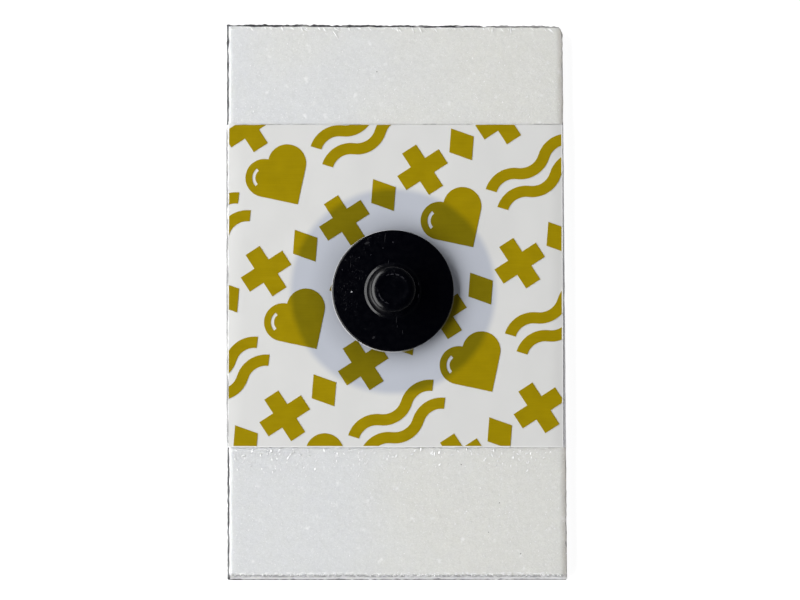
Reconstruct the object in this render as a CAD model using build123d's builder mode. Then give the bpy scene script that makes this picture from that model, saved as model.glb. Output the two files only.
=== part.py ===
from build123d import *
import os
from math import cos, radians, sin, sqrt

# A disposable ECG electrode, lying on its release liner with the snap stud up.
# Lengths are in millimetres. The origin is on the stud's axis, at the liner's resting face.
# +Y runs along the pad's long side and +Z points out of the stud.

# Foam pad
pad_width = 30.0
pad_length = 49.4
pad_thickness = 1.0
pad_shift_x = 0.25  # the stud is punched a little off the pad's centre
pad_shift_y = -0.94
pad_lean = 0.11  # the cut is a little out of square: each end stands this far to one side
pad_flare = 0.03  # and its sides open this much towards the near end
pad_end_rise = 0.075  # while the far end is cut higher on the left and lower on the right
soft_corner_radius = 0.8  # one corner is pressed rounder than the others
bare_edge_round = 0.4
held_edge_round = 0.1  # the label keeps the foam's edge tight
slant_reach = 0.5  # the near end is cut at a slant
slant_foot = 0.25  # what the slant leaves of the edge's height
well_diameter = 18.2

# Films below the foam
liner_thickness = 0.1
adhesive_thickness = 0.06

# Face label
label_length = 28.7
label_thickness = 0.1
label_shift_y = 0.49
label_side_inset = 0.15
label_hole_clearance = 0.1

# Snap stud, moulded in one piece with its flange
flange_diameter = 10.8
flange_thickness = 0.7
flange_top_chamfer = 0.12
flange_foot_chamfer = 0.06
collar_diameter = 5.14
collar_height = 0.14
collar_slope = 0.2  # how far the collar's side leans in
neck_flare = 0.35  # how far the neck widens where it meets the collar
neck_undercut = 0.32  # how far the neck stands back from the head
neck_height = 1.06
head_diameter = 3.95
head_under_height = 0.6
head_land = 0.85
head_crown_width = 0.565  # from the head's side in to the lip of its dish
head_crown_height = 0.2
head_lip_width = 0.05
head_dish_slope = 0.3  # how far the dish's gentle side reaches in
head_dish_depth = 0.04

# Sensor eyelet, pressed up through the label into the stud
eyelet_diameter = 9.6
eyelet_thickness = 0.36
eyelet_edge_chamfer = 0.1
post_diameter = 2.0
post_reach = 2.2  # how far the post stands into the stud
post_tip_chamfer = 0.3
barb_height = 0.08
barb_length = 0.5
barb_from_tip = 0.45
bore_clearance = 0.02
bore_end_gap = 0.15

# Conductive gel in the well
gel_side_gap = 0.8
gel_headroom = 0.06

# Print on the label: slanted rows of hearts and waves, then of plus signs and lozenges
ink_thickness = 0.03
print_angle = 33.0
print_start_along = 8.1
print_start_across = 1.8
print_bands = 3  # bands of two rows each, counted either way from the middle one
band_shift = 5.6  # each band starts this much further along its row
row_gap = 1.0
motif_gap = 1.2
heart_width = 5.8
heart_glint_width = 0.28
heart_glint_inset = 0.75
heart_glint_start = 95.0
heart_glint_sweep = 95.0
wave_step = 2.8  # from one crossing of the wave's middle line to the next
wave_slope = 40.0
wave_stroke = 1.0
wave_spacing = 1.9
wave_halves = 3
plus_width = 4.4
plus_arm = 1.5
lozenge_width = 2.6
lozenge_height = 3.4

# Heights of the layers, from the resting face up
liner_top = liner_thickness
adhesive_top = liner_top + adhesive_thickness
pad_top = adhesive_top + pad_thickness
label_top = pad_top + label_thickness
ink_top = label_top + ink_thickness
flange_top = ink_top + flange_thickness
collar_top = flange_top + collar_height
neck_top = collar_top + neck_height
land_bottom = neck_top + head_under_height
land_top = land_bottom + head_land
head_top = land_top + head_crown_height
eyelet_bottom = pad_top - eyelet_thickness
post_top = ink_top + post_reach
gel_top = pad_top - gel_headroom

# Radii about the stud's axis
well_radius = well_diameter / 2
gel_radius = well_radius - gel_side_gap
eyelet_radius = eyelet_diameter / 2
post_radius = post_diameter / 2
label_hole_radius = post_radius + label_hole_clearance
flange_radius = flange_diameter / 2
collar_foot_radius = collar_diameter / 2
collar_top_radius = collar_foot_radius - collar_slope
head_radius = head_diameter / 2
neck_radius = head_radius - neck_undercut
head_top_radius = head_radius - head_crown_width
dish_radius = head_top_radius - head_lip_width

label_width = pad_width - 2 * label_side_inset


def nearest_corner(profile, x, y):
    """The corner of a profile that lies at x, y."""
    return profile.vertices().sort_by_distance((x, y))[0]


def post_points(clearance, foot, tip):
    """Half the outline of the barbed post, or of the bore that takes it with a clearance."""
    side = post_radius + clearance
    barb_top = post_top - barb_from_tip + clearance
    barb_bottom = post_top - barb_from_tip - barb_length - clearance
    return [
        (side, foot),
        (side, barb_bottom),
        (side + barb_height, barb_bottom),
        (side, barb_top),
        (side, tip - post_tip_chamfer),
        (side - post_tip_chamfer, tip),
        (0, tip),
    ]


# Outline shared by the foam, its adhesive and the liner, which are cut together
with BuildSketch(Plane((pad_shift_x, pad_shift_y, 0))) as pad_outline:
    with BuildLine():
        Polyline(
            (pad_lean - pad_width / 2 - pad_flare, -pad_length / 2),
            (pad_lean + pad_width / 2 + pad_flare, -pad_length / 2),
            (-pad_lean + pad_width / 2 - pad_flare, pad_length / 2 - pad_end_rise),
            (-pad_lean - pad_width / 2 + pad_flare, pad_length / 2 + pad_end_rise),
            close=True,
        )
    make_face()
    fillet(pad_outline.vertices().sort_by(lambda v: v.X + v.Y)[-1], soft_corner_radius)

# Outline of the label, open for the eyelet's post
with BuildSketch() as label_outline:
    with Locations((pad_shift_x, label_shift_y)):
        Rectangle(label_width, label_length)
    Circle(label_hole_radius, mode=Mode.SUBTRACT)

# Release liner: a plain film that covers the adhesive and the gel until use
with BuildPart() as release_liner:
    with BuildSketch():
        add(pad_outline.sketch)
    extrude(amount=liner_thickness)

# Skin adhesive: a coat under the whole foam, open at the gel well
with BuildPart() as skin_adhesive:
    with BuildSketch(Plane.XY.offset(liner_top)):
        add(pad_outline.sketch)
        Circle(well_radius, mode=Mode.SUBTRACT)
    extrude(amount=adhesive_thickness)

# The stretch of foam under the label, which keeps its edges tight
with BuildPart() as held_foam:
    with BuildSketch(Plane.XY.offset(adhesive_top)):
        add(pad_outline.sketch)
        with Locations((pad_shift_x, label_shift_y)):
            Rectangle(pad_length, label_length, mode=Mode.INTERSECT)
    extrude(amount=pad_thickness)
    across = held_foam.faces().sort_by(Axis.Z)[-1].edges().sort_by(Axis.X)
    fillet([across[0], across[-1]], held_edge_round)

# Foam pad: rounded along its bare top edges and slanted at the near end
with BuildPart() as foam_pad:
    with BuildSketch(Plane.XY.offset(adhesive_top)):
        add(pad_outline.sketch)
    extrude(amount=pad_thickness)
    fillet(foam_pad.faces().sort_by(Axis.Z)[-1].edges(), bare_edge_round)

    near_end = pad_shift_y - pad_length / 2
    with BuildSketch(Plane.YZ.offset(pad_shift_x)):
        with BuildLine():
            Polyline(
                (near_end, adhesive_top + slant_foot),
                (near_end + slant_reach, pad_top),
                (near_end, pad_top),
                close=True,
            )
        make_face()
    extrude(amount=pad_width, both=True, mode=Mode.SUBTRACT)

    add(held_foam.part)

    with BuildSketch(Plane.XY.offset(adhesive_top)):
        Circle(well_radius)
    extrude(amount=pad_thickness, mode=Mode.SUBTRACT)

# Face label: a film over the middle of the foam, which closes the well from above
with BuildPart() as face_label:
    with BuildSketch(Plane.XY.offset(pad_top)):
        add(label_outline.sketch)
    extrude(amount=label_thickness)

# Sensor eyelet: a disc in the gel, and a barbed post that holds the stud on
with BuildPart() as sensor_eyelet:
    with BuildSketch(Plane.XZ) as eyelet_profile:
        with BuildLine():
            Polyline(
                (0, eyelet_bottom),
                (eyelet_radius, eyelet_bottom),
                (eyelet_radius, pad_top),
                *post_points(0, pad_top, post_top),
                close=True,
            )
        make_face()
        chamfer(eyelet_profile.vertices().group_by(Axis.X)[-1], eyelet_edge_chamfer)
    revolve(axis=Axis.Z)

# Gel: a soft disc that fills the well up to the eyelet
with BuildPart() as gel_disc:
    with BuildSketch(Plane.XY.offset(liner_top)):
        Circle(gel_radius)
    extrude(amount=gel_top - liner_top)
    with BuildSketch(Plane.XY.offset(eyelet_bottom)):
        Circle(eyelet_radius)
    extrude(amount=eyelet_thickness, mode=Mode.SUBTRACT)

# Snap stud: flange, sloped collar, waisted neck and a crowned head with a shallow dish in its top
with BuildPart() as snap_stud:
    with BuildSketch(Plane.XZ) as stud_profile:
        with BuildLine():
            foot = Polyline(
                (0, ink_top),
                (flange_radius, ink_top),
                (flange_radius, flange_top),
                (collar_foot_radius, flange_top),
                (collar_top_radius, collar_top),
                (neck_radius + neck_flare, collar_top),
                (neck_radius, collar_top + neck_flare),
                (neck_radius, neck_top),
            )
            under_head = TangentArc(foot @ 1, (head_radius, land_bottom), tangent=(0, 1))
            land = Line(under_head @ 1, (head_radius, land_top))
            crown = TangentArc((head_top_radius, head_top), land @ 1, tangent=(1, 0))
            Polyline(
                crown @ 0,
                (dish_radius, head_top),
                (dish_radius - head_dish_slope, head_top - head_dish_depth),
                (0, head_top - head_dish_depth),
                foot @ 0,
            )
        make_face()
        chamfer(nearest_corner(stud_profile, flange_radius, ink_top), flange_foot_chamfer)
        chamfer(nearest_corner(stud_profile, flange_radius, flange_top), flange_top_chamfer)
    revolve(axis=Axis.Z)

    bore_top = post_top + bore_end_gap
    with BuildSketch(Plane.XZ):
        with BuildLine():
            Polyline((0, ink_top), *post_points(bore_clearance, ink_top, bore_top), close=True)
        make_face()
    revolve(axis=Axis.Z, mode=Mode.SUBTRACT)

# Heart: a square stood on its corner, a round lobe on each upper side, and a curved glint left bare
heart_side = heart_width / (1 + 1 / sqrt(2))
heart_lobe_radius = heart_side / 2
heart_lobe_shift = heart_lobe_radius / sqrt(2)
with BuildSketch() as heart:
    Rectangle(heart_side, heart_side, rotation=45)
    with Locations((-heart_lobe_shift, heart_lobe_shift), (heart_lobe_shift, heart_lobe_shift)):
        Circle(heart_lobe_radius)
    with BuildLine():
        CenterArc(
            (-heart_lobe_shift, heart_lobe_shift),
            heart_lobe_radius - heart_glint_inset,
            heart_glint_start,
            heart_glint_sweep,
        )
    trace(line_width=heart_glint_width, mode=Mode.SUBTRACT)

# Waves: two ribbons, one above the other, each of arcs that run into each other
wave_length = wave_step * wave_halves
wave_lead = (cos(radians(wave_slope)), sin(radians(wave_slope)))
with BuildSketch() as ribbon:
    with BuildLine():
        half_wave = TangentArc((-wave_length / 2, 0), (wave_step - wave_length / 2, 0), tangent=wave_lead)
        for _ in range(wave_halves - 1):
            half_wave = TangentArc(half_wave @ 1, half_wave @ 1 + (wave_step, 0), tangent=half_wave % 1)
    trace(line_width=wave_stroke)
with BuildSketch() as waves:
    with Locations((0, wave_spacing / 2), (0, -wave_spacing / 2)):
        add(ribbon.sketch)

# Plus sign
with BuildSketch() as plus_sign:
    Rectangle(plus_width, plus_arm)
    Rectangle(plus_arm, plus_width)

# Lozenge
with BuildSketch() as lozenge:
    with BuildLine():
        Polyline(
            (lozenge_width / 2, 0),
            (0, lozenge_height / 2),
            (-lozenge_width / 2, 0),
            (0, -lozenge_height / 2),
            close=True,
        )
    make_face()

# Label print: bands of motifs across the label, ended by its edges
heart_height = heart_side / sqrt(2) + heart_lobe_shift + heart_lobe_radius
row_period = heart_width + wave_length + 2 * motif_gap
row_rise = (heart_height + plus_width) / 2 + row_gap
band_pitch = 2 * row_rise
wave_from_heart = (heart_width + wave_length) / 2 + motif_gap
lozenge_from_plus = row_period / 4
band_starts = [
    (print_start_along + band * band_shift + turn * row_period, print_start_across + band * band_pitch)
    for band in range(-print_bands, print_bands + 1)
    for turn in range(-print_bands, print_bands + 1)
]
half_turns = [(x + half * row_period / 2, y + row_rise) for x, y in band_starts for half in range(2)]
with BuildPart() as label_print:
    with BuildSketch(Plane.XY.offset(label_top)):
        with Locations(Location((0, 0), print_angle)):
            with Locations(band_starts):
                add(heart.sketch)
            with Locations([(x + wave_from_heart, y) for x, y in band_starts]):
                add(waves.sketch)
            with Locations(half_turns):
                add(plus_sign.sketch)
            with Locations([(x + lozenge_from_plus, y) for x, y in half_turns]):
                add(lozenge.sketch)
        add(label_outline.sketch, mode=Mode.INTERSECT)
    extrude(amount=ink_thickness)

# Write each piece under its own name
pieces = {
    "release_liner": release_liner,
    "skin_adhesive": skin_adhesive,
    "foam_pad": foam_pad,
    "gel_disc": gel_disc,
    "sensor_eyelet": sensor_eyelet,
    "face_label": face_label,
    "label_print": label_print,
    "snap_stud": snap_stud,
}
os.makedirs("parts", exist_ok=True)
for name, piece in pieces.items():
    piece.part.label = name
    export_step(piece.part, f"parts/{name}.step")
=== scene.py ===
# %% [markdown]
# # An ECG electrode in close-up
# The real thing is a small sandwich: a clear release liner, a tacky coat, a soft white foam pad with
# a gel well punched through it, a printed film over the middle, and a black snap stud that a lead
# wire clips onto. The solids come in at their true size and place, so nothing here is moved or
# resized. Each one gets its finish, and where a plain solid can't show what the eye sees up close,
# such as torn foam or a softly moulded edge, a finer mesh takes its place.

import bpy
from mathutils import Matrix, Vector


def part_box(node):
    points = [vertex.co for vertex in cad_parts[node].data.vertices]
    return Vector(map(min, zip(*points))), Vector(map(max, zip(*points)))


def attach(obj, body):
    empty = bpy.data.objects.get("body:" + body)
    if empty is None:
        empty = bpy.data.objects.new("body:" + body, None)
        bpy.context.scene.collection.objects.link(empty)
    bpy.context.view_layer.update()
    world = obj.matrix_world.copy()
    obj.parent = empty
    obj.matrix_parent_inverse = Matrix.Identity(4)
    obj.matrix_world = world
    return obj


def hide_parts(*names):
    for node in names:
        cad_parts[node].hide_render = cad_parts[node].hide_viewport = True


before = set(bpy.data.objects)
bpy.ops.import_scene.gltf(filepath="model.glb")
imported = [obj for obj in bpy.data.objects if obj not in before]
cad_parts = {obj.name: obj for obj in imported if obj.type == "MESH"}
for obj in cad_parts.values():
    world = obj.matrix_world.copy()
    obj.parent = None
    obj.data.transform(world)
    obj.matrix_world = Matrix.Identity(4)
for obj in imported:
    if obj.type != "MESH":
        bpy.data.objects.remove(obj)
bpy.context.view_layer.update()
print("solids:", ", ".join(sorted(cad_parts)))

# %% [markdown]
# Sizes are written in millimetres here, as on a drawing, while Blender counts in metres. So every
# length is multiplied by one small value just before Blender sees it.

# %% Tools and units
import math
import random

import bmesh
import bpy
from mathutils import Vector, noise

mm = 0.001
scene = bpy.context.scene


def corners_of(part):
    """The lowest and highest corner of a solid, in millimetres."""
    low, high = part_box(part)
    return low / mm, high / mm


pad_low, pad_high = corners_of("foam_pad")
label_low, label_high = corners_of("face_label")
print("pad:", tuple(round(side, 2) for side in pad_high - pad_low), "mm")

# %% [markdown]
# ## The camera
# The electrode was photographed lying down, from almost straight above. A long lens from 30 cm away
# keeps its sides parallel, and the camera leans back by less than three degrees, which the head of
# the stud gives away: it sits a hair higher in the picture than its flange.

# %% Camera
camera_lean = math.radians(2.75)
camera_turn = math.radians(-0.029)
camera_reach = 300 * mm
camera_aim = Vector((0.62, -0.754, 0.5)) * mm
camera_lens = 151.46

camera = bpy.data.objects.new("camera", bpy.data.cameras.new("camera"))
scene.collection.objects.link(camera)
scene.camera = camera
camera.rotation_euler = (camera_lean, 0, camera_turn)
camera.location = camera_aim + camera.rotation_euler.to_matrix() @ Vector((0, 0, camera_reach))
camera.data.lens = camera_lens
camera.data.clip_start = camera_reach / 100
scene.view_settings.view_transform = "Standard"
print("camera:", tuple(round(place / mm, 1) for place in camera.location), "mm")

# %% [markdown]
# ## Mixing a finish
# A finish is a small recipe of wired nodes, and most of the recipes below need the same few steps:
# a cloudy pattern, a field of cells, a soft step from one value to another, a blend of two colours.
# The class below gives each of those steps one short name. It also turns the surface's own position
# into millimetres, so that a pattern's size can be read straight off the real thing.

# %% A finish and its recipe
def add_step(tree, kind, inputs=None, **settings):
    """Adds one node, whose inputs are plain values or the outputs of other nodes."""
    made = tree.nodes.new(kind)
    for setting, value in settings.items():
        setattr(made, setting, value)
    for socket, value in (inputs or {}).items():
        if isinstance(value, bpy.types.NodeSocket):
            tree.links.new(value, made.inputs[socket])
        else:
            made.inputs[socket].default_value = value
    return made


class Finish:
    """A material whose nodes are added one step at a time."""

    def __init__(self, name, colour, roughness, more=None):
        self.material = bpy.data.materials.new(name)
        self.material.use_nodes = True
        self.tree = self.material.node_tree
        self.shader = self.tree.nodes["Principled BSDF"]
        self.material.diffuse_color = (*colour, 1)
        plain = {"Base Color": (*colour, 1), "Roughness": roughness, **(more or {})}
        for socket, value in plain.items():
            self.shader.inputs[socket].default_value = value
        place = self.step("ShaderNodeTexCoord").outputs["Object"]
        self.place = self.vector("SCALE", place, Scale=1 / mm)

    def step(self, kind, inputs=None, **settings):
        return add_step(self.tree, kind, inputs, **settings)

    def vector(self, operation, first, second=None, **inputs):
        if second is not None:
            inputs[1] = second
        return self.step("ShaderNodeVectorMath", {0: first, **inputs}, operation=operation).outputs[0]

    def sum(self, operation, first, second=0.0, third=0.0):
        inputs = {0: first, 1: second, 2: third}
        return self.step("ShaderNodeMath", inputs, operation=operation).outputs[0]

    def times(self, first, second):
        return self.sum("MULTIPLY", first, second)

    def scaled(self, value, factor, offset):
        return self.sum("MULTIPLY_ADD", value, factor, offset)

    def along(self, axis):
        return self.step("ShaderNodeSeparateXYZ", {0: self.place}).outputs[axis]

    def stretched(self, sizes, turn=0.0):
        """The place measured in sizes along each axis, turned about the vertical."""
        turned = self.step("ShaderNodeVectorRotate", {"Vector": self.place, "Angle": turn}).outputs[0]
        return self.vector("DIVIDE", turned, sizes)

    def cloud(self, sizes, turn=0.0, detail=1.0):
        """A cloudy pattern, about 0.5 in the middle, with blotches of the sizes given."""
        inputs = {"Vector": self.stretched(sizes, turn), "Scale": 1.0, "Detail": detail}
        return self.step("ShaderNodeTexNoise", inputs).outputs["Fac"]

    def cells(self, sizes, turn=0.0, edges=False):
        """A field of cells: each one's own random value, and the distance from its middle or edge."""
        inputs = {"Vector": self.stretched(sizes, turn), "Scale": 1.0}
        feature = "DISTANCE_TO_EDGE" if edges else "F1"
        made = self.step("ShaderNodeTexVoronoi", inputs, feature=feature)
        if edges:
            return made.outputs["Distance"]
        value = self.step("ShaderNodeSeparateColor", {0: made.outputs["Color"]}).outputs[0]
        return value, made.outputs["Distance"]

    def rise(self, value, start, end, low=0.0, high=1.0):
        """A soft step from low to high as the value goes from start to end."""
        inputs = {"Value": value, "From Min": start, "From Max": end, "To Min": low, "To Max": high}
        return self.step("ShaderNodeMapRange", inputs, interpolation_type="SMOOTHSTEP").outputs[0]

    def band(self, value, start, end, soft=0.05):
        """1 where the value lies from start to end, with soft borders outside them."""
        opening = self.rise(value, start - soft, start)
        closing = self.rise(value, end, end + soft, 1, 0)
        return self.times(opening, closing)

    def blend(self, share, first, second, mode="MIX"):
        inputs = {0: share}
        inputs[6] = (*first, 1) if isinstance(first, tuple) else first
        inputs[7] = (*second, 1) if isinstance(second, tuple) else second
        return self.step("ShaderNodeMix", inputs, data_type="RGBA", blend_type=mode).outputs[2]

    def marks(self, places):
        """1 inside small ovals listed as (x, y, length, width, heading in degrees), 0 elsewhere."""
        found = 0.0
        for x, y, length, width, heading in places:
            offset = self.vector("SUBTRACT", self.place, (x, y, 0))
            inputs = {"Vector": offset, "Angle": -math.radians(heading)}
            turned = self.step("ShaderNodeVectorRotate", inputs).outputs[0]
            flat = self.vector("MULTIPLY", turned, (2 / length, 2 / width, 0))
            reach = self.step("ShaderNodeVectorMath", {0: flat}, operation="LENGTH").outputs["Value"]
            found = self.sum("MAXIMUM", self.rise(reach, 0.5, 1.0, 1, 0), found)
        return found

    def relief(self, height, depth, under=None):
        """Fine relief, with a depth in millimetres, on top of another relief if one is given."""
        inputs = {"Height": height, "Distance": depth * mm}
        if under is not None:
            inputs["Normal"] = under
        return self.step("ShaderNodeBump", inputs).outputs[0]

    def feed(self, **sockets):
        """Wires what the recipe made into the shader's base_color, roughness and normal."""
        for socket, value in sockets.items():
            self.tree.links.new(value, self.shader.inputs[socket.replace("_", " ").title()])


def dress(piece, finish):
    """Gives the whole piece one finish."""
    piece.data.materials.clear()
    piece.data.materials.append(finish.material)


print("recipe steps:", ", ".join(step for step in vars(Finish) if not step.startswith("_")))

# %% [markdown]
# ## Table and light
# The shadow beside the flange and the crescents on the stud tell where the light stood. The shadow
# lies on the right and is a little longer than the flange is high, so most of the light came from
# the left, at a little under forty degrees. The crescents reach far round the stud, so its source
# was wide, like a window. From overhead and from the right the black plastic mirrors almost nothing.
# So there is one wide lamp at the left, a sky that stays dim, and a soft fill from above and a little
# to the right, which keeps the shaded edge of the foam pale and stays out of reflections.

# %% Lamps
def soft_lamp(name, height, turn, reach, width, depth, brightness):
    """A rectangular lamp that looks at the stud, as bright as a white sheet times its brightness."""
    lamp = bpy.data.objects.new(name, bpy.data.lights.new(name, "AREA"))
    scene.collection.objects.link(lamp)
    lamp.data.shape = "RECTANGLE"
    lamp.data.size, lamp.data.size_y = width, depth
    lamp.data.energy = brightness * math.pi * width * depth
    toward = Vector((
        math.cos(height) * math.cos(turn), math.cos(height) * math.sin(turn), math.sin(height)
    ))
    lamp.location = toward * reach
    lamp.rotation_euler = toward.to_track_quat("Z", "Y").to_euler()
    print(name, "at", tuple(round(place / mm) for place in lamp.location), "mm")
    return lamp


soft_lamp(
    "window", height=math.radians(36), turn=math.radians(177.5), reach=450 * mm,
    width=1000 * mm, depth=250 * mm, brightness=6.1,
)
fill = soft_lamp(
    "fill", height=math.radians(68), turn=math.radians(10), reach=900 * mm,
    width=700 * mm, depth=700 * mm, brightness=1.05,
)
fill.visible_glossy = False

# %% [markdown]
# The sky is a ramp from the horizon up. What the camera sees past the table's edge, directly or
# through the clear film, is white. A reflection sees only the dim room.

# %% Sky
sky_low, sky_high = (0.07, 0.075, 0.085), (0.003, 0.0035, 0.008)
sky_ramp = (0.1, 0.75)

world = bpy.data.worlds.new("room")
world.use_nodes = True
scene.world = world
sky = world.node_tree


def either(tree, first, second):
    """1 where either of two fields is 1."""
    return add_step(tree, "ShaderNodeMath", {0: first, 1: second}, operation="MAXIMUM").outputs[0]


def ramp(tree, share, first, second):
    """A colour that goes from the first to the second."""
    return add_step(tree, "ShaderNodeMix", {0: share, 6: first, 7: second}, data_type="RGBA").outputs[2]


direction = add_step(sky, "ShaderNodeTexCoord").outputs["Generated"]
sky_height = add_step(sky, "ShaderNodeSeparateXYZ", {0: direction}).outputs["Z"]
ray = add_step(sky, "ShaderNodeLightPath").outputs
seen = either(sky, ray["Is Camera Ray"], ray["Is Transmission Ray"])
climb = {"Value": sky_height, "From Min": sky_ramp[0], "From Max": sky_ramp[1]}
climb = add_step(sky, "ShaderNodeMapRange", climb).outputs[0]
dim = ramp(sky, climb, (*sky_low, 1), (*sky_high, 1))
colour = ramp(sky, seen, dim, (1, 1, 1, 1))
sky.links.new(colour, sky.nodes["Background"].inputs["Color"])
print("sky:", len(sky.nodes), "nodes")

# %% [markdown]
# The table is an ordinary pale sheet that scatters light and holds the pad's shadow. What the camera
# sees of it directly, in a reflection or through clear film is lifted to white by its own glow. A
# good half of that glow reaches every other ray too, as the bounce of a white table on the sides.

# %% Table
table_reach = 2.5
table_gap = 0.004 * mm
table_glow, table_bounce = 0.9, 0.5
table_scatter = 0.3

bpy.ops.mesh.primitive_plane_add(size=2 * table_reach, location=(0, 0, -table_gap))
table = bpy.context.object
table.name = "table"

table_finish = bpy.data.materials.new("table")
table_finish.use_nodes = True
tree = table_finish.node_tree
tree.nodes.clear()
ray = add_step(tree, "ShaderNodeLightPath").outputs
seen = either(tree, ray["Is Camera Ray"], ray["Is Glossy Ray"])
seen = either(tree, seen, ray["Is Transmission Ray"])
level = {0: seen, 1: table_glow - table_bounce, 2: table_bounce}
level = add_step(tree, "ShaderNodeMath", level, operation="MULTIPLY_ADD").outputs[0]
glow = add_step(tree, "ShaderNodeEmission", {"Strength": level}).outputs[0]
grey = (table_scatter, table_scatter, table_scatter, 1)
paper = add_step(tree, "ShaderNodeBsdfDiffuse", {"Color": grey}).outputs[0]
both = add_step(tree, "ShaderNodeAddShader", {0: glow, 1: paper}).outputs[0]
add_step(tree, "ShaderNodeOutputMaterial", {"Surface": both})
table.data.materials.append(table_finish)
print("table:", 2 * table_reach, "m across")

# %% [markdown]
# ## The foam pad
# The pad is closed-cell foam, a millimetre thick, cut with a blade from a sheet. Its bare edges
# round over softly, the blade left small nicks along the far end, and the near end was cut at a
# slant, which shows as a grey step. A box could be bevelled and roughened by a texture, but then the
# outline would stay ruler straight. So the pad is laid out as a net of points, finely spaced where
# the foam is bare and coarsely under the label, and every point gets its own height and its own
# small shift. The sides and the underside close the net into one solid.

# %% Where the pad's outline runs
pad_lean = 0.11
pad_flare = 0.03
pad_end_rise = 0.075
pad_width = pad_high.x - pad_low.x - 2 * pad_lean
pad_length = pad_high.y - pad_low.y - pad_end_rise
foam_foot, foam_top = pad_low.z, pad_high.z


def on_pad(from_left, from_near):
    """The place in the frame of a point that lies so far in from the pad's left side and near end."""
    across, along = 2 * from_left / pad_width - 1, 2 * from_near / pad_length - 1
    middle = (pad_low.x + pad_high.x) / 2 - pad_flare - pad_lean * along
    far_share = from_near / pad_length
    x = middle + (pad_width / 2 - pad_flare * along) * across
    return x, pad_low.y + from_near - pad_end_rise * across * far_share


pad_corners = [(0, 0), (pad_width, 0), (pad_width, pad_length), (0, pad_length)]
for corner in pad_corners:
    print("pad corner:", tuple(round(place, 2) for place in on_pad(*corner)), "mm")

# %% [markdown]
# The net is finest along its rim, where the edge rounds over within half a millimetre, and coarse
# under the label, where nothing of it shows.

# %% Rows and columns of the net
net_pitch = 0.12
hidden_pitch = 0.6
edge_steps = [0, 0.03, 0.07, 0.11, 0.15, 0.22, 0.3, 0.4, 0.52]
label_near, label_far = label_low.y - pad_low.y, label_high.y - pad_low.y


def spread(start, end, pitch):
    """Values from start to end, evenly spaced by about the pitch."""
    count = max(1, round((end - start) / pitch))
    return [start + (end - start) * step / count for step in range(count + 1)]


def fine_ended(length, inner):
    """The inner values with the edge steps before and after them."""
    return edge_steps[:-1] + inner + [length - step for step in reversed(edge_steps[:-1])]


columns = fine_ended(pad_width, spread(edge_steps[-1], pad_width - edge_steps[-1], net_pitch))
rows = fine_ended(pad_length, [
    *spread(edge_steps[-1], label_near, net_pitch),
    *spread(label_near, label_far, hidden_pitch)[1:-1],
    *spread(label_far, pad_length - edge_steps[-1], net_pitch),
])
print("net:", len(columns), "by", len(rows), "points")

# %% [markdown]
# Each point of the net now gets its height. A rounded edge falls like a quarter circle. Under the
# label the round is tight, because the film holds the foam. The right side sags a little before it
# turns down, which reads as a soft shade. The slanted end falls steeply, then runs out in a thin flat
# ledge, which catches the light as a white line. On top of that the skin of the foam waves very
# slightly, in broad soft swells and in finer bumps.

# %% Heights of the net
bare_round = 0.42
round_change, round_run = 0.3, 0.9
right_round, sag_run, sag_depth = 0.11, 0.75, 0.085
held_round = 0.1
slant = [(0.0, 0.26), (0.02, 0.36), (0.19, 0.38), (0.23, 0.46), (0.5, 1.0), (0.6, 1.2)]
swell_size, swell_height = 2.4, 0.012
bump_size, bump_height = 0.42, 0.005
ragged_size, ragged_shift = 0.3, 0.12


def wave(x, y, size, layer):
    """A smooth random value from -1 to 1, whose swells are about so large."""
    return noise.noise(Vector((x / size, y / size, layer)))


def between(value, stops):
    """Reads a value off a list of (place, height) stops."""
    for (start, low), (end, high) in zip(stops, stops[1:]):
        if value <= end:
            return low + (high - low) * max(0.0, value - start) / (end - start)
    return stops[-1][1]


def edge_fall(inset, radius):
    """How far a rounded edge has fallen, this far in from the outline."""
    short = max(0.0, 1 - inset / radius)
    return radius * (1 - math.sqrt(max(0.0, 1 - short * short)))


def net_height(from_left, from_near):
    """Height of the foam's skin above the adhesive."""
    held = label_near <= from_near <= label_far
    from_right = pad_width - from_left
    if held:
        return foam_top - foam_foot - edge_fall(min(from_left, from_right), held_round)
    x, y = on_pad(from_left, from_near)
    radius = bare_round * (1 + round_change * wave(x, y, round_run, 4))
    sag = sag_depth * max(0.0, 1 - from_right / sag_run) ** 2
    height = foam_top - foam_foot - sag - max(
        edge_fall(from_left, radius), edge_fall(from_right, right_round),
        edge_fall(min(from_near, pad_length - from_near), radius),
    )
    ragged = ragged_shift * wave(x, y, ragged_size, 3) * min(1.0, from_near / ragged_size)
    height = min(height, between(from_near + ragged, slant))
    calm = min(1.0, abs(from_near - label_near), abs(from_near - label_far))
    swell = swell_height * wave(x, y, swell_size, 1) + bump_height * wave(x, y, bump_size, 2)
    return height + swell * calm


print("heights at the near end:", [round(net_height(pad_width / 2, step), 2) for step in edge_steps])

# %% [markdown]
# A blade leaves no straight line in foam. Each side gets its own small wander. The near end stands
# in by almost a tenth of a millimetre, so that a hair of the adhesive's dark rim shows, and the other
# three bulge out by less than that. At the left, beside the label, the film kept the cut straighter and
# presses the foam out a little more. The far right corner is pressed round.

# %% Wander of the cut sides
wander_depth = {
    "left": (-0.03, 0.05), "right": (-0.03, 0.03), "near": (0.075, 0.06), "far": (-0.065, 0.1),
}
wander_fade = 0.7
held_bulge = 0.06
soft_corner = 0.8
long_wander, short_wander = 1.5, 0.4


def wander(side, run):
    """How far the cut stands in from the true outline, at this place along the side."""
    layer = 10 + list(wander_depth).index(side)
    slow = noise.noise(Vector((run / long_wander, layer, 0)))
    quick = noise.noise(Vector((run / short_wander, layer, 5)))
    middle, swing = wander_depth[side]
    if side == "left" and label_near < run < label_far:
        return middle - held_bulge + swing * slow / 2
    return middle + swing * (slow + quick)


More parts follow.
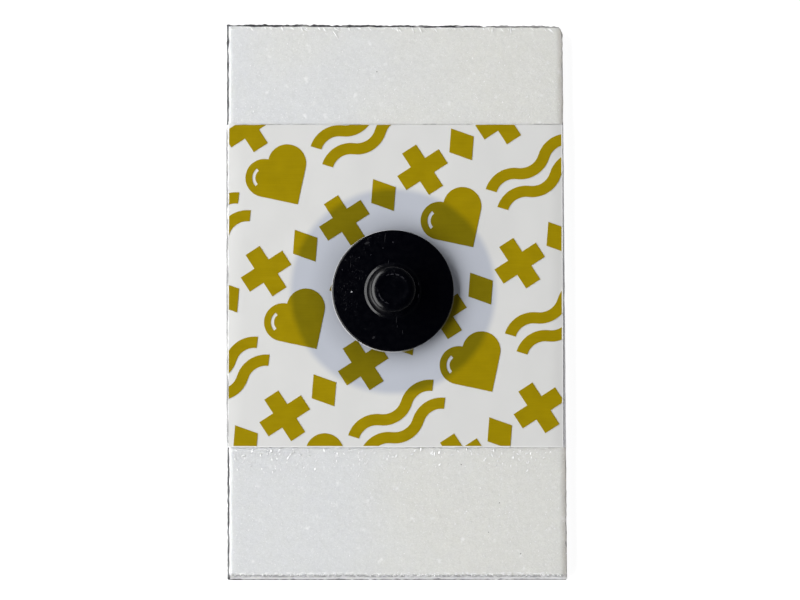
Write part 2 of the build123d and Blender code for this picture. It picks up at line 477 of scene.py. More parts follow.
def settled(from_left, from_near):
    """The point after the wander of the sides and the rounding of the soft corner."""
    insets = {
        "left": (from_left, from_near), "right": (pad_width - from_left, from_near),
        "near": (from_near, from_left), "far": (pad_length - from_near, from_left),
    }
    push = {
        side: wander(side, run) * max(0.0, 1 - inset / wander_fade) ** 2
        for side, (inset, run) in insets.items()
    }
    a = max(0.0, 1 - insets["right"][0] / soft_corner)
    b = max(0.0, 1 - insets["far"][0] / soft_corner)
    if a and b:
        share = 1 - max(a, b) / math.hypot(a, b)
        from_left -= soft_corner * a * share
        from_near -= soft_corner * b * share
    return from_left + push["left"] - push["right"], from_near + push["near"] - push["far"]


print("wander of the far end:", [round(wander("far", run), 3) for run in range(0, 30, 6)], "mm")

# %% [markdown]
# ### Closing the net
# The top is a plain grid of faces. Round its rim the sides go down in a few rows, each pushed in or
# out a little like torn cells, and one large face closes the underside.

# %% Top and sides of the pad
side_shares = [0.75, 0.5, 0.25, 0.0]
torn_depth = 0.03
torn_size = 0.25


def new_piece(name, shape):
    """Turns a bmesh into a piece of the electrode that rides with its one body."""
    bmesh.ops.recalc_face_normals(shape, faces=shape.faces)
    mesh = bpy.data.meshes.new(name)
    shape.to_mesh(mesh)
    shape.free()
    piece = bpy.data.objects.new(name, mesh)
    scene.collection.objects.link(piece)
    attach(piece, "root")
    return piece


def triangles_of(piece):
    return sum(len(face.vertices) - 2 for face in piece.data.polygons)


shape = bmesh.new()
net = []
for from_near in rows:
    line = []
    for from_left in columns:
        x, y = on_pad(*settled(from_left, from_near))
        line.append(shape.verts.new(Vector((x, y, foam_foot + net_height(from_left, from_near))) * mm))
    net.append(line)
for below, above in zip(net, net[1:]):
    for a, b, c, d in zip(below, below[1:], above[1:], above):
        shape.faces.new((a, b, c, d))

rim = net[0] + [line[-1] for line in net[1:-1]] + net[-1][::-1] + [line[0] for line in net[-2:0:-1]]
centre = (pad_low + pad_high) / 2 * mm
upper = rim
for share in side_shares:
    lower = []
    for vert in rim:
        place = Vector(vert.co)
        place.z = foam_foot * mm + (vert.co.z - foam_foot * mm) * share
        torn_shift_and_slant_shade = torn_depth * noise.noise(place / mm / torn_size)
        place.x += math.copysign(torn_shift_and_slant_shade * mm, centre.x - place.x) * (share > 0)
        lower.append(shape.verts.new(place))
    for a, b, c, d in zip(upper, upper[1:] + upper[:1], lower[1:] + lower[:1], lower):
        shape.faces.new((a, b, c, d))
    upper = lower
shape.faces.new(upper)
foam = new_piece("foam_cushion", shape)
print("pad before the punch:", triangles_of(foam), "triangles")

# %% [markdown]
# The die punches a round well for the gel right through the foam, and a cylinder does the same here.
# To lay the hole out in the net would take rings of faces round it. A cut is simpler, and its rim
# can't be told from a laid out one, because the label covers it.

# %% Punch the well
well_diameter = 18.2
well_steps = 180

bpy.ops.mesh.primitive_cylinder_add(
    vertices=well_steps, radius=well_diameter / 2 * mm, depth=4 * foam_top * mm, location=(0, 0, 0)
)
punch = bpy.context.object
cut = foam.modifiers.new("well", "BOOLEAN")
cut.operation = "DIFFERENCE"
cut.solver = "EXACT"
cut.object = punch
punched = foam.evaluated_get(bpy.context.evaluated_depsgraph_get())
foam_mesh = bpy.data.meshes.new_from_object(punched)
foam.modifiers.clear()
foam.data = foam_mesh
bpy.data.objects.remove(punch)
foam.data.shade_smooth()
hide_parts("foam_pad")
print("foam pad:", triangles_of(foam), "triangles")

# %% [markdown]
# ### Torn cells
# Up close the foam glitters with scraps of broken cell wall, and where the blade went in at the far
# end it left short slanting burrs. Each scrap is a thin sliver, a few hundredths of a millimetre high
# and half sunk in the skin, with its broad face towards the window. A texture could paint them, but a
# real face catches the low light and throws a small shadow behind it. Larger flakes lie near the
# label, where the film pulled at the foam. They are all scattered from one fixed seed.

# %% One sliver
sliver_sink, sliver_lean = 0.02, 0.36


def sliver(shape, from_left, from_near, length, width, height, heading):
    """Adds one closed sliver that lies on the foam, pointing along its heading."""
    x, y = on_pad(from_left, from_near)
    ground = foam_foot + net_height(from_left, from_near)
    ahead = Vector((math.cos(heading), math.sin(heading), 0))
    aside = Vector((-ahead.y, ahead.x, 0))
    if aside.x > 0:
        ahead, aside = -ahead, -aside
    middle = Vector((x, y, ground - sliver_sink))
    places = [
        middle - ahead * length / 2,
        middle + aside * width / 2,
        middle + ahead * length / 2,
        middle - aside * width / 2,
        middle - aside * width * sliver_lean + Vector((0, 0, sliver_sink + height)),
    ]
    tail, left, head, right, back = [shape.verts.new(place * mm) for place in places]
    for corners in ((tail, right, back), (right, head, back), (head, left, back), (left, tail, back)):
        shape.faces.new(corners)
    shape.faces.new((tail, left, head, right))


print("a sliver sinks in by", sliver_sink, "mm")

# %% [markdown]
# There are four kinds. Scraps lie anywhere on the bare foam, flakes beside the label, burrs at the far
# end and crumbs above the slant of the near end. Each kind has a range for its length, width and
# height, and a heading with the spread about it. One deep nick of the blade is given.

# %% Scatter the slivers
scatter = random.Random(7)
scrap_count, flake_count, burr_count, crumb_count = 420, 120, 70, 190
scrap_sizes, scrap_heading = [(0.1, 0.36), (0.07, 0.2), (0.015, 0.05)], (60, 35)
flake_sizes, flake_heading = [(0.2, 0.55), (0.12, 0.26), (0.03, 0.07)], (55, 35)
burr_sizes, burr_heading = [(0.2, 0.8), (0.08, 0.18), (0.02, 0.07)], (-52, 14)
crumb_sizes, crumb_heading = [(0.12, 0.34), (0.06, 0.14), (0.02, 0.07)], (-60, 35)
near_share = 0.62
flake_margin, flake_gap, flake_reach = 0.5, 0.15, 2.6
burr_margins, burr_inset = (0.3, 0.8), 0.2
crumb_margin, crumb_strip = 0.3, (0.42, 0.66)
long_nick, long_nick_heading = (9.7, 0.85, 1.5, 0.12, 0.08), math.radians(-57)


def drawn(sizes, heading):
    """A random size out of each range, and a random heading."""
    return *(scatter.uniform(*each) for each in sizes), math.radians(scatter.gauss(*heading))


def bare_place():
    """A random place on a bare stretch, a little in from the outline and often close to the label."""
    margin = bare_round
    depth = scatter.betavariate(1, 1.6)
    if scatter.random() < near_share:
        from_near = label_near - margin - depth * (label_near - 2 * margin)
    else:
        from_near = label_far + margin + depth * (pad_length - label_far - 2 * margin)
    return scatter.uniform(margin, pad_width - margin), from_near


shape = bmesh.new()
for _ in range(scrap_count):
    sliver(shape, *bare_place(), *drawn(scrap_sizes, scrap_heading))
for _ in range(flake_count):
    from_left = scatter.uniform(flake_margin, pad_width - flake_margin)
    from_near = label_near - flake_gap - flake_reach * scatter.betavariate(1, 2.2)
    sliver(shape, from_left, from_near, *drawn(flake_sizes, flake_heading))
for _ in range(burr_count):
    length = scatter.uniform(*burr_sizes[0])
    from_left = scatter.uniform(burr_margins[0], pad_width - burr_margins[1])
    from_near = pad_length - burr_inset - length / 3
    sliver(shape, from_left, from_near, length, *drawn(burr_sizes[1:], burr_heading))
sliver(shape, long_nick[0], pad_length - long_nick[1], *long_nick[2:], long_nick_heading)
for _ in range(crumb_count):
    from_left = scatter.uniform(crumb_margin, pad_width - crumb_margin)
    sliver(shape, from_left, scatter.uniform(*crumb_strip), *drawn(crumb_sizes, crumb_heading))
scraps = new_piece("foam_scraps", shape)
print("slivers:", scrap_count + flake_count + burr_count + 1 + crumb_count)

# %% [markdown]
# ## The snap stud
# The stud is moulded in black plastic, so it has no truly sharp edge. Its form is a turned one, and
# the easiest way to draw it is half an outline that is spun about the axis. Each corner of that
# outline carries its own softness, the most on the rim of the flange. The low collar, the flared foot
# of the neck and the round shoulder of the head each throw back one crescent of the side lamp.

# %% Turned pieces
turn_steps = 144
round_steps = 5


def softened(corners):
    """Swaps each (radius, height, softness) corner for a short curve as wide as its softness."""
    points = []
    for place, (radius, height, soft) in enumerate(corners):
        here = Vector((radius, height))
        if not soft:
            points.append(here)
            continue
        before = (Vector(corners[place - 1][:2]) - here).normalized() * soft
        after = (Vector(corners[place + 1][:2]) - here).normalized() * soft
        for step in range(round_steps + 1):
            share = step / round_steps
            points.append(here + before * (1 - share) ** 2 + after * share ** 2)
    return points


def turned(name, corners):
    """Spins half an outline about the stud's axis."""
    shape = bmesh.new()
    line = [shape.verts.new((point.x * mm, 0, point.y * mm)) for point in softened(corners)]
    edges = [shape.edges.new(pair) for pair in zip(line, line[1:])]
    bmesh.ops.spin(
        shape, geom=line + edges, cent=(0, 0, 0), axis=(0, 0, 1), angle=math.tau, steps=turn_steps
    )
    bmesh.ops.remove_doubles(shape, verts=shape.verts, dist=mm / 1e4)
    piece = new_piece(name, shape)
    piece.data.shade_smooth()
    return piece


print("a turned piece has", turn_steps, "steps round")

# %% [markdown]
# The outline starts at the roof of the blind bore, runs down its wall, out under the flange, over its
# rim, up collar, neck and head, and ends in the middle of the shallow dish.

# %% Outline of the stud
stud_low, stud_high = corners_of("snap_stud")
flange_radius, flange_height = stud_high.x, 0.7
flange_top = stud_low.z + flange_height
collar_foot, collar_slope, collar_height = 2.54, 0.2, 0.14
collar_top = flange_top + collar_height
neck_radius, neck_height, neck_flare = 1.655, 1.06, 0.6
neck_top = collar_top + neck_height
head_radius, under_height = 1.975, 0.6
crown_radius, crown_rim = 0.85, 1.37
lip_width, dish_slope, dish_depth = 0.05, 0.3, 0.04
bore_radius, bore_top, bore_chamfer = 1.02, 3.64, 0.3


def arc(middle, radii, start, end, steps=8):
    """Corners along a stretch of a round or oval curve, with its angles in degrees."""
    angles = [math.radians(start + (end - start) * step / steps) for step in range(steps + 1)]
    return [(middle[0] + radii[0] * math.cos(a), middle[1] + radii[1] * math.sin(a), 0) for a in angles]


crown_end = math.degrees(math.acos((head_radius - crown_rim) / crown_radius))
stud = turned("stud", [
    (0, bore_top, 0),
    (bore_radius - bore_chamfer, bore_top, 0),
    (bore_radius, bore_top - bore_chamfer, 0),
    (bore_radius, stud_low.z, 0.02),
    (flange_radius, stud_low.z, 0.08),
    (flange_radius, flange_top, 0.17),
    (collar_foot, flange_top, 0.03),
    (collar_foot - collar_slope, collar_top, 0.04),
    *arc((neck_radius + neck_flare, collar_top + neck_flare), (neck_flare, neck_flare), 270, 180),
    *arc((neck_radius, neck_top + under_height), (head_radius - neck_radius, under_height), -90, 0),
    (head_radius, stud_high.z - crown_radius * (1 - math.sin(math.radians(crown_end))), 0.015),
    *arc((crown_rim, stud_high.z - crown_radius), (crown_radius, crown_radius), crown_end + 3, 90),
    (crown_rim - lip_width, stud_high.z, 0.02),
    (crown_rim - lip_width - dish_slope, stud_high.z - dish_depth, 0.1),
    (0, stud_high.z - dish_depth, 0),
])
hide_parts("snap_stud")
print("stud:", triangles_of(stud), "triangles")

# %% [markdown]
# ## White foam
# Foam scatters nearly all the light it gets, also below its skin, so its white is dense and its edges
# glow. Weak clouds tint it from bluish on the left to warm on the right. The upright sides are found
# by the tilt of the surface. The die cut them clean, and their open cells make them a little darker
# than the skin. One even white would look like paint, so the marks of cutting and handling, together
# with some painted highlights and shades, are laid over it in the next cells, one kind at a time.

# %% Skin and cut sides
foam_cool, foam_warm, foam_cut = (0.735, 0.745, 0.75), (0.75, 0.75, 0.72), (0.56, 0.565, 0.565)

foam_finish = Finish("white_foam", foam_cool, 0.62, {
    "Specular IOR Level": 0.25, "Subsurface Weight": 1.0, "Subsurface Radius": (1, 1, 0.95),
    "Subsurface Scale": 0.6 * mm,
})
blotch = foam_finish.scaled(foam_finish.cloud((9, 9, 9), detail=0), 0.5, 0.25)
side = foam_finish.scaled(foam_finish.along("X"), 0.02, blotch)
colour = foam_finish.blend(foam_finish.rise(side, 0.22, 0.65), foam_cool, foam_warm)
tilt = foam_finish.step("ShaderNodeNewGeometry").outputs["True Normal"]
tilt = foam_finish.step("ShaderNodeSeparateXYZ", {0: tilt}).outputs["Z"]
on_top = foam_finish.rise(tilt, 0.1, 0.18)
colour = foam_finish.blend(on_top, foam_cut, colour)
print("foam finish:", len(foam_finish.tree.nodes), "nodes so far")

# %% [markdown]
# The low ledge at the near end and the lower part of the rounded rim get a painted highlight in white,
# and the slant of the near end gets a painted grey shade. Pale cells stand up here and there along the
# top of the cut. Beside the label the rim is painted white as well, which lifts its shade, and on the
# bare stretches a brownish painted shade lies along the right side. All of this follows the sides of
# the pad. A side is a straight line, so one helper can tell how far in from it a point lies.

# %% Near end and rim
pale_cell_and_rim_light_white, slant_shade_grey, right_shade_brown = (0.95, 0.95, 0.95), (0.42, 0.42, 0.43), (0.5, 0.43, 0.37)
ledge_height = 0.33
torn_strip, ridge_strip = (0.27, 0.46), (0.56, 0.68)
pad_sides = ["near", "right", "far", "left"]


def inset_from(finish, side):
    """How far in the surface lies from one side of the pad, in millimetres."""
    place = pad_sides.index(side)
    (x, y), (end_x, end_y) = on_pad(*pad_corners[place]), on_pad(*pad_corners[(place + 1) % 4])
    run = math.hypot(end_x - x, end_y - y)
    inward = ((y - end_y) / run, (end_x - x) / run, 0)
    inputs = {0: finish.place, 1: inward}
    across = finish.step("ShaderNodeVectorMath", inputs, operation="DOT_PRODUCT").outputs["Value"]
    return finish.sum("SUBTRACT", across, inward[0] * x + inward[1] * y)


# Painted highlight: the lower part of the rounded rim, the near ledge and the strips beside the label
# are painted white, brighter than their shading.
upto = foam_finish.scaled(foam_finish.cloud((0.9, 0.9, 9), detail=2), 0.9, foam_foot + ledge_height)
painted_rim_light = foam_finish.rise(foam_finish.sum("SUBTRACT", foam_finish.along("Z"), upto), -0.1, 0.1, 1, 0)
beside_label = foam_finish.band(foam_finish.along("Y"), label_low.y, label_high.y)
painted_rim_light = foam_finish.times(foam_finish.sum("MAXIMUM", painted_rim_light, beside_label), on_top)
colour = foam_finish.blend(painted_rim_light, colour, pale_cell_and_rim_light_white)
near_in = inset_from(foam_finish, "near")
# Painted shade: the slant of the near end is painted grey in patches.
torn_shift_and_slant_shade = foam_finish.rise(foam_finish.cloud((0.35, 0.12, 0.3), detail=2), 0.38, 0.6, 0.25, 1)
torn_shift_and_slant_shade = foam_finish.times(foam_finish.band(near_in, *torn_strip), torn_shift_and_slant_shade)
colour = foam_finish.blend(torn_shift_and_slant_shade, colour, slant_shade_grey)
ridge = foam_finish.rise(foam_finish.cloud((0.5, 0.2, 0.3), detail=2), 0.5, 0.64, 0, 0.85)
ridge = foam_finish.times(foam_finish.band(near_in, *ridge_strip), ridge)
colour = foam_finish.blend(ridge, colour, pale_cell_and_rim_light_white)
# Painted shade: a brownish shade is painted along the right side of the bare top.
painted_right_shade = foam_finish.rise(inset_from(foam_finish, "right"), 0.05, 0.6, 0.3, 0)
painted_right_shade = foam_finish.times(painted_right_shade, foam_finish.sum("SUBTRACT", on_top, beside_label))
painted_right_shade = foam_finish.sum("MAXIMUM", painted_right_shade, 0.0)
colour = foam_finish.blend(painted_right_shade, colour, right_shade_brown)
print("foam finish:", len(foam_finish.tree.nodes), "nodes so far")

# %% [markdown]
# The skin itself is a field of tiny cells, each a shade lighter or darker than the next, with soft
# mottles over them. Here and there a painted glint, like a short scratch of light, stands for the
# shine off the wall of an opened cell.

# %% Cells and painted glints
painted_glint_white = (0.93, 0.93, 0.94)
cell_size = 0.13
painted_glint_shapes = [((0.05, 0.34, 0.3), 0.5), ((0.05, 0.28, 0.3), -0.8)]

cell_value, cell_distance = foam_finish.cells((cell_size, cell_size, cell_size))
mottle = foam_finish.scaled(cell_value, 0.05, 0.905)
mottle = foam_finish.scaled(foam_finish.cloud((0.8, 0.8, 0.8)), 0.05, mottle)
mottle = foam_finish.scaled(foam_finish.cloud((0.2, 0.45, 0.3), turn=0.5, detail=2), 0.09, mottle)
colour = foam_finish.blend(1.0, colour, mottle, "MULTIPLY")
# Painted highlight: short white streaks of glint.
for size, turn in painted_glint_shapes:
    painted_glint = foam_finish.rise(foam_finish.cloud(size, turn, detail=0), 0.77, 0.83)
    colour = foam_finish.blend(painted_glint, colour, painted_glint_white)
print("cells:", cell_size, "mm")

# %% [markdown]
# Last come a few specks of dirt, a grey painted shadow in places along the far edge of the label, and
# a dark line painted along the rim of the top, which wavers and breaks up. Beside the label that line
# is thinner and fainter on the left and missing on the right. The cells and some broader bumps also
# give the relief, a few thousandths of a millimetre deep.

# %% Dirt, painted shadow line and rim lines
foam_dirt, label_edge_shadow_grey, line_grey = (0.16, 0.15, 0.14), (0.55, 0.55, 0.54), (0.05, 0.05, 0.055)
dirt_marks = [
    (-1.43, 19.6, 0.13, 0.13, 0), (9.43, -18.8, 0.13, 0.1, 50), (8.45, -21.4, 0.11, 0.09, 0),
    (11.3, -23.3, 0.15, 0.11, 20), (6.05, -15.4, 0.2, 0.08, -40),
]
label_edge_shadow_gap = 0.05
held_narrower = 0.1
rim_lines = {
    "far": {"width": 0.13, "patches": (0.25, 0.5), "least": 0.4, "beside_label": 0},
    "left": {"width": 0.15, "patches": (0.3, 0.55), "least": 0.85, "beside_label": -0.3},
    "right": {"width": 0.04, "patches": (0.5, 0.65), "least": 0, "beside_label": -1},
}

colour = foam_finish.blend(foam_finish.marks(dirt_marks), colour, foam_dirt)
# Painted shadow: a thin grey line just beyond the label's far edge.
from_label_edge_shadow = foam_finish.sum("SUBTRACT", foam_finish.along("Y"), label_high.y + label_edge_shadow_gap)
from_label_edge_shadow = foam_finish.sum("ABSOLUTE", from_label_edge_shadow)
label_edge_shadow = foam_finish.times(
    foam_finish.rise(from_label_edge_shadow, 0.03, 0.07, 1, 0),
    foam_finish.rise(foam_finish.cloud((1.6, 9, 9), detail=2), 0.5, 0.62),
)
colour = foam_finish.blend(label_edge_shadow, colour, label_edge_shadow_grey)
waver = foam_finish.scaled(foam_finish.cloud((1.1, 1.1, 9), detail=2), 0.24, -0.12)
waver = foam_finish.scaled(beside_label, held_narrower, waver)
fading = foam_finish.rise(foam_finish.along("X"), 6, 11, 1, 0.65)
less_if_steep = foam_finish.rise(tilt, 0.15, 0.5, 0.65, 1)
# A dark line is painted along the rim of the top of each side.
for side, look in rim_lines.items():
    inset = foam_finish.sum("ADD", inset_from(foam_finish, side), waver)
    patchy = foam_finish.cloud((1.7, 1.7, 9), detail=2)
    patchy = foam_finish.rise(patchy, *look["patches"], look["least"], 1)
    line = foam_finish.rise(inset, look["width"], look["width"] + 0.05, 1, 0)
    line = foam_finish.times(foam_finish.times(foam_finish.times(line, patchy), fading), on_top)
    held_back = foam_finish.scaled(beside_label, look["beside_label"], 1.0)
    line = foam_finish.times(foam_finish.times(line, less_if_steep), held_back)
    colour = foam_finish.blend(line, colour, line_grey)
bumps = foam_finish.relief(foam_finish.cloud((0.5, 0.5, 0.5)), 0.03)
foam_finish.feed(base_color=colour, normal=foam_finish.relief(cell_distance, 0.012, bumps))
dress(foam, foam_finish)
print("foam finish:", len(foam_finish.tree.nodes), "nodes")

# %% [markdown]
# The scraps are bare cell wall: whiter and a little glossier than the skin they lie on.

# %% Scrap finish
scrap_white, scrap_dull, scrap_bright = (0.93, 0.93, 0.93), (0.84, 0.845, 0.85), (0.97, 0.97, 0.97)

scrap_finish = Finish("torn_cell_wall", scrap_white, 0.4)
value, _ = scrap_finish.cells((0.5, 0.5, 0.5))
scrap_finish.feed(base_color=scrap_finish.blend(value, scrap_dull, scrap_bright))
dress(scraps, scrap_finish)
print("scrap finish:", len(scrap_finish.tree.nodes), "nodes")

# %% [markdown]
# ## Label and print
# The label is a thin white film, and it isn't quite opaque. Over the well there is no white foam
# behind it, only wet gel and grey metal, so a round bluish shade shows through film and ink alike. A
# painted shade deepens it towards the flange, and a thin painted highlight rings the film right under
# the flange's rim. Both finishes need that shade, and both go white in the last tenth of a millimetre
# at the right and near edges. So these two fields come from helpers.

# %% Shade of the well, painted flange shade and highlight, and the white edges
well_edge = (8.7, 9.5)
flange_shade_ring, flange_shade_depth = (5.5, 7.8), 0.8
flange_rim_highlight_ring = (5.44, 5.5)
cut_edge = 0.11
film_edge_and_highlight_white = (0.83, 0.83, 0.82)


def over_well(finish, plain, shaded):
    """The plain colour, shaded over the gel well, with a painted shade towards the flange and a painted
    highlight under its rim.
    """
    flat = finish.vector("MULTIPLY", finish.place, (1, 1, 0))
    reach = finish.step("ShaderNodeVectorMath", {0: flat}, operation="LENGTH").outputs["Value"]
    colour = finish.blend(finish.rise(reach, *well_edge, 1, 0), plain, shaded)
    # Painted shade: film and ink darken towards the flange.
    colour = finish.blend(1.0, colour, finish.rise(reach, *flange_shade_ring, flange_shade_depth, 1), "MULTIPLY")
    # Painted highlight: a thin pale ring on the film under the flange's rim, weaker away from the lamp.
    flange_rim_highlight = finish.rise(reach, *flange_rim_highlight_ring, 0.75, 0)
    highlight_weaker_at_right = finish.rise(finish.along("X"), -2, 3, 1, 0.2)
    return finish.blend(finish.times(flange_rim_highlight, highlight_weaker_at_right), colour, film_edge_and_highlight_white)


def film_edge(finish):
    """1 along the right and near edges of the label, 0 elsewhere."""
    right = finish.rise(finish.along("X"), label_high.x - cut_edge, label_high.x - cut_edge + 0.03)
    near = finish.rise(finish.along("Y"), label_low.y + cut_edge - 0.03, label_low.y + cut_edge, 1, 0)
    return finish.sum("MAXIMUM", right, near)


print("the well's shade ends", well_edge[1], "mm from the axis")

# %% [markdown]
# The film bends down a little over the soft foam at both sides, which makes it paler towards the
# window and greyer at the right. The bend is too slight to be worth a new mesh, so the finish shades
# it over the last millimetre and a half.

# %% Label finish
film_white, film_over_well = (0.715, 0.715, 0.70), (0.50, 0.525, 0.585)
bend_left, lit_by = 1.6, 1.09
bend_right, shaded_by = 1.4, 0.91

label_finish = Finish("white_film", film_white, 0.36, {"Specular IOR Level": 0.4})
colour = over_well(label_finish, film_white, film_over_well)
colour = label_finish.blend(film_edge(label_finish), colour, film_edge_and_highlight_white)
haze = label_finish.scaled(label_finish.cloud((3, 3, 3)), 0.05, 0.975)
across = label_finish.along("X")
lit = label_finish.rise(across, label_low.x, label_low.x + bend_left, lit_by, 1)
shaded = label_finish.rise(across, label_high.x - bend_right, label_high.x - cut_edge, 1, shaded_by)
haze = label_finish.times(haze, label_finish.times(lit, shaded))
label_finish.feed(
    base_color=label_finish.blend(1.0, colour, haze, "MULTIPLY"),
    roughness=label_finish.rise(label_finish.cloud((1.2, 1.2, 1.2)), 0.3, 0.7, 0.3, 0.42),
    normal=label_finish.relief(label_finish.cloud((4, 4, 4)), 0.08),
)
dress(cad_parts["face_label"], label_finish)
print("label finish:", len(label_finish.tree.nodes), "nodes")

# %% [markdown]
# The ink is a satin olive gold. It went on in one direction, and it shows: very fine streaks run
# across the label, in the colour and in the gloss.

# %% Ink finish
ink_gold, ink_over_well = (0.325, 0.235, 0.0012), (0.19, 0.15, 0.002)

ink_finish = Finish("olive_gold_ink", ink_gold, 0.4, {"Specular IOR Level": 0.08})
streak = ink_finish.cloud((2.4, 0.07, 1), detail=2)
patch = ink_finish.cloud((1.1, 1.1, 1), detail=2)
tone = ink_finish.scaled(ink_finish.sum("ADD", streak, patch), 0.22, 0.78)
colour = over_well(ink_finish, ink_gold, ink_over_well)
colour = ink_finish.blend(1.0, colour, tone, "MULTIPLY")
ink_finish.feed(
    base_color=ink_finish.blend(film_edge(ink_finish), colour, film_edge_and_highlight_white),
    roughness=ink_finish.rise(streak, 0.3, 0.7, 0.32, 0.5),
    normal=ink_finish.relief(streak, 0.004, ink_finish.relief(ink_finish.cloud((4, 4, 4)), 0.08)),
)
dress(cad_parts["label_print"], ink_finish)
print("ink finish:", len(ink_finish.tree.nodes), "nodes")

# %% [markdown]
# ## Black plastic
# A plain moulded black, satin rather than glossy. Handling has left dust in a few places, some short
# scuffs and one pale speck on the flange. On the left half, towards the lamp, the dust is mixed with a
# painted sheen, and two short painted highlights sit on the collar. All of them are faint, and they
# matter because they are the only thing that tells the eye how large the dark surface is.

# %% Dust and scuffs on the stud
plastic_black, dust_and_highlight_grey = (0.0004, 0.0005, 0.0016), (0.035, 0.035, 0.04)
scuff_and_sheen_grey, speck_white = (0.02, 0.02, 0.022), (0.45, 0.45, 0.47)
scratch_marks = [
    (-0.7, 4.7, 1.0, 0.07, 85), (-0.39, 2.55, 0.4, 0.08, 86), (0.3, -2.6, 0.8, 0.07, 88),
    (0.37, -3.17, 0.2, 0.1, 60), (-3.76, 2.25, 0.6, 0.06, 88), (-4.2, -1.64, 0.35, 0.09, 60),
    (-1.73, -4.16, 0.4, 0.2, 40), (-2.3, 4.25, 0.6, 0.25, 20), (0.85, -3.7, 0.5, 0.06, 95),
]
speck_marks = [
    (0.0, 4.32, 0.14, 0.12, 0), (-0.89, 3.79, 0.12, 0.12, 0), (-1.96, 3.21, 0.14, 0.1, 30),
    (-2.99, 2.94, 0.12, 0.12, 0), (-4.5, 1.87, 0.12, 0.14, 0),
]
white_speck = [(-3.67, -0.09, 0.17, 0.17, 0)]
collar_highlight_marks = [(2.26, 0.61, 0.42, 0.07, 103), (2.25, -0.49, 0.5, 0.08, 80)]

stud_finish = Finish("black_plastic", plastic_black, 0.22, {"Specular IOR Level": 0.34})
haze = stud_finish.rise(stud_finish.cloud((1.8, 1.8, 9)), 0.42, 0.7)
grain = stud_finish.rise(stud_finish.cloud((0.13, 0.24, 1), turn=0.3), 0.58, 0.78)
# Painted sheen: the dust patches are laid only over the left half, towards the lamp.
left_half = stud_finish.rise(stud_finish.along("X"), -1.5, 1.5, 1, 0)
dust_and_sheen = stud_finish.times(stud_finish.times(haze, grain), left_half)
colour = stud_finish.blend(dust_and_sheen, plastic_black, scuff_and_sheen_grey)
colour = stud_finish.blend(stud_finish.marks(scratch_marks), colour, scuff_and_sheen_grey)
colour = stud_finish.blend(stud_finish.marks(speck_marks), colour, dust_and_highlight_grey)
# Painted highlight: two short grey arcs on the right of the collar.
colour = stud_finish.blend(stud_finish.marks(collar_highlight_marks), colour, dust_and_highlight_grey)
colour = stud_finish.blend(stud_finish.marks(white_speck), colour, speck_white)
print("marks on the stud:", len(scratch_marks + speck_marks + collar_highlight_marks + white_speck))

# %% [markdown]
# A painted highlight shows as a pale, broken ring along two stretches of the head's lip. The groove
# below the head is a little duller than the rest, which spreads the reflection there. Both are rings
# about the stud's axis, so the distance from it is all that they need to find their place.

# %% Painted lip highlight and dull groove
lip_highlight_marks = [(0.35, 1.2, 2.4, 1.3, -15), (-1.05, -0.75, 2.3, 1.0, -52)]
groove = (1.95, 2.28)

flat = stud_finish.vector("MULTIPLY", stud_finish.place, (1, 1, 0))
from_axis = stud_finish.step("ShaderNodeVectorMath", {0: flat}, operation="LENGTH").outputs["Value"]
from_lip = stud_finish.sum("ABSOLUTE", stud_finish.sum("SUBTRACT", from_axis, crown_rim - lip_width))
on_head = stud_finish.rise(stud_finish.along("Z"), collar_top, neck_top)
lip = stud_finish.times(stud_finish.rise(from_lip, 0.03, 0.07, 1, 0), on_head)
patchy = stud_finish.rise(stud_finish.cloud((0.22, 0.22, 1)), 0.4, 0.62)
lip_highlight_patches = stud_finish.times(stud_finish.marks(lip_highlight_marks), patchy)
# Painted highlight: a pale broken ring on two stretches of the lip.
colour = stud_finish.blend(stud_finish.times(lip, lip_highlight_patches), colour, dust_and_highlight_grey)
satin = stud_finish.rise(stud_finish.cloud((0.5, 0.5, 0.5)), 0.3, 0.7, 0.19, 0.27)
in_groove = stud_finish.band(from_axis, *groove, soft=0.08)
below_head = stud_finish.rise(stud_finish.along("Z"), neck_top, neck_top + 0.2, 1, 0)
matte = stud_finish.times(stud_finish.times(in_groove, below_head), left_half)
matte = stud_finish.times(matte, 0.11)
stud_finish.feed(
    base_color=colour,
    roughness=stud_finish.sum("ADD", satin, matte),
    normal=stud_finish.relief(stud_finish.cloud((0.12, 0.12, 0.12)), 0.002),
)
dress(stud, stud_finish)
print("stud finish:", len(stud_finish.tree.nodes), "nodes")

# %% [markdown]
# ## Below the foam
# Four pieces are left, which show only at the pad's rim and from underneath, through the liner. The
# adhesive is a clear coat with a dark grey painted along its rim, which is the thin dark line round the
# pad. That line is as thin as a hair, so a colour is enough.

# %% Adhesive finish
adhesive_clear, adhesive_rim_grey = (0.80, 0.80, 0.77), (0.035, 0.036, 0.04)
adhesive_rim_width = 0.16

adhesive_finish = Finish("tacky_coat", adhesive_clear, 0.3)
rim = 0.0
for side in pad_sides:
    inset = inset_from(adhesive_finish, side)
    at_side = adhesive_finish.rise(inset, adhesive_rim_width, adhesive_rim_width + 0.05, 1, 0)
    rim = adhesive_finish.sum("MAXIMUM", at_side, rim)
# A dark grey is painted in patches along the adhesive's rim.
adhesive_rim_patches = adhesive_finish.rise(adhesive_finish.cloud((0.5, 0.5, 0.5), detail=2), 0.25, 0.5, 0.6, 1)
adhesive_rim_patches = adhesive_finish.times(adhesive_rim_patches, adhesive_finish.rise(adhesive_finish.along("X"), 8, 14, 1, 0.8))
colour = adhesive_finish.blend(adhesive_finish.times(rim, adhesive_rim_patches), adhesive_clear, adhesive_rim_grey)
adhesive_finish.feed(
    base_color=colour,
    normal=adhesive_finish.relief(adhesive_finish.cloud((0.8, 0.8, 0.8), detail=3), 0.02),
)
dress(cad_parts["skin_adhesive"], adhesive_finish)
print("adhesive finish:", len(adhesive_finish.tree.nodes), "nodes")

# %% [markdown]
# The gel is wet and cloudy. It is too thin to bend light to any effect, and a truly glassy finish
# would keep the light of the lamps from what lies behind. So it is made part see-through instead.

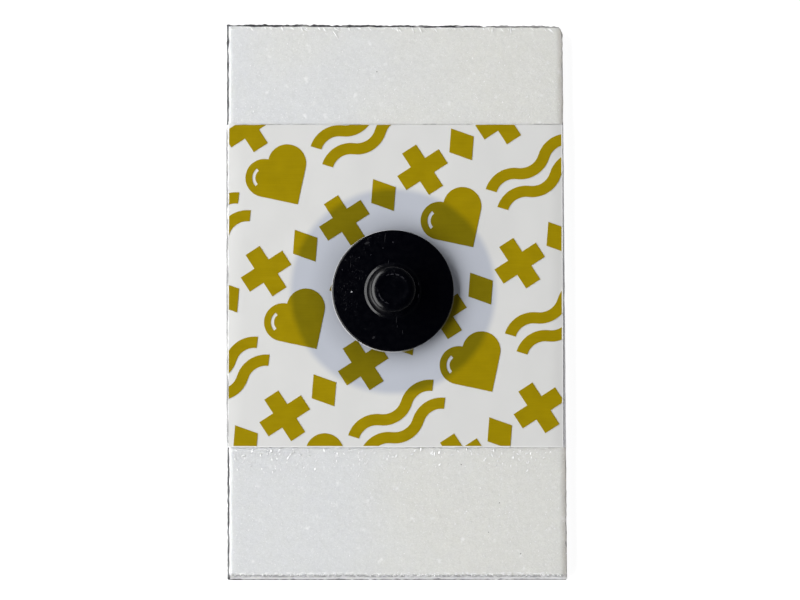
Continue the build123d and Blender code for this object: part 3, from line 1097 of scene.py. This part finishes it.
# %% Gel finish
gel_cloudy, gel_clear = (0.74, 0.80, 0.86), (0.60, 0.70, 0.80)

gel_finish = Finish("wet_gel", gel_cloudy, 0.18, {"Alpha": 0.55, "IOR": 1.38})
cloudy = gel_finish.cloud((2.5, 2.5, 2.5), detail=3)
gel_finish.feed(
    base_color=gel_finish.blend(cloudy, gel_clear, gel_cloudy),
    normal=gel_finish.relief(cloudy, 0.12),
)
dress(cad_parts["gel_disc"], gel_finish)
print("gel finish:", len(gel_finish.tree.nodes), "nodes")

# %% [markdown]
# The eyelet behind the gel wears a dull coat of silver and silver chloride. Bare metal would mirror
# the room, while this coat is a fine powder. So it is only part metallic, fairly rough, and darker
# where it has tarnished.

# %% Silver finish
silver_dull, silver_dark = (0.50, 0.49, 0.46), (0.30, 0.28, 0.27)

silver_finish = Finish("silver_chloride_coat", silver_dull, 0.5, {"Metallic": 0.35})
grain = silver_finish.cloud((0.1, 0.1, 0.1), detail=3)
tarnish = silver_finish.cloud((1.6, 1.6, 1.6), detail=3)
silver_finish.feed(
    base_color=silver_finish.blend(silver_finish.rise(tarnish, 0.42, 0.68), silver_dull, silver_dark),
    roughness=silver_finish.rise(grain, 0.3, 0.7, 0.42, 0.62),
    normal=silver_finish.relief(grain, 0.01),
)
dress(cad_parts["sensor_eyelet"], silver_finish)
print("silver finish:", len(silver_finish.tree.nodes), "nodes")

# %% [markdown]
# The release liner is a clear, lightly brushed film. Like the gel it is part see-through rather than
# glassy.

# %% Liner finish
liner_clear = (0.93, 0.95, 0.96)

liner_finish = Finish("release_film", liner_clear, 0.12, {"Alpha": 0.35, "IOR": 1.5})
brushed = liner_finish.cloud((0.2, 3, 1), detail=2)
liner_finish.feed(
    roughness=liner_finish.rise(brushed, 0.35, 0.7, 0.08, 0.24),
    normal=liner_finish.relief(liner_finish.cloud((5, 5, 5)), 0.1),
)
dress(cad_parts["release_liner"], liner_finish)
print("liner finish:", len(liner_finish.tree.nodes), "nodes")

# %% [markdown]
